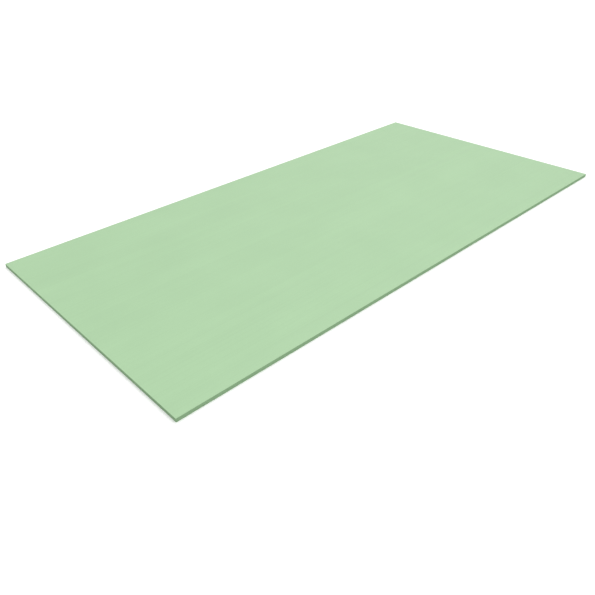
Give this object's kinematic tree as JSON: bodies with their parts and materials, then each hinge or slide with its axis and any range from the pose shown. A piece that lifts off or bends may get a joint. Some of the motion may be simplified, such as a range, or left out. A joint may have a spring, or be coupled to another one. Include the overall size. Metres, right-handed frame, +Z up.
{
  "type": "xps insulation board",
  "caption": "Thin flat rectangular sheet of rigid extruded polystyrene foam, smooth skinned on both faces with square trimmed edges, laid as insulation under a floor covering.",
  "frame": {"origin": "centre of the underside, on the surface that the board lies on", "axes": "+X along the length, which is the way the foam was extruded; +Y across the width; +Z up through the thickness, out of the upper face"},
  "size_m": [1, 0.5, 0.006],
  "materials": {
    "xps_foam": "pale green closed-cell foam with a smooth satin extrusion skin; the trimmed edges are dull and finely pitted"
  },
  "bodies": {
    "root": {"board": "xps_foam"}
  },
  "joints": []
}
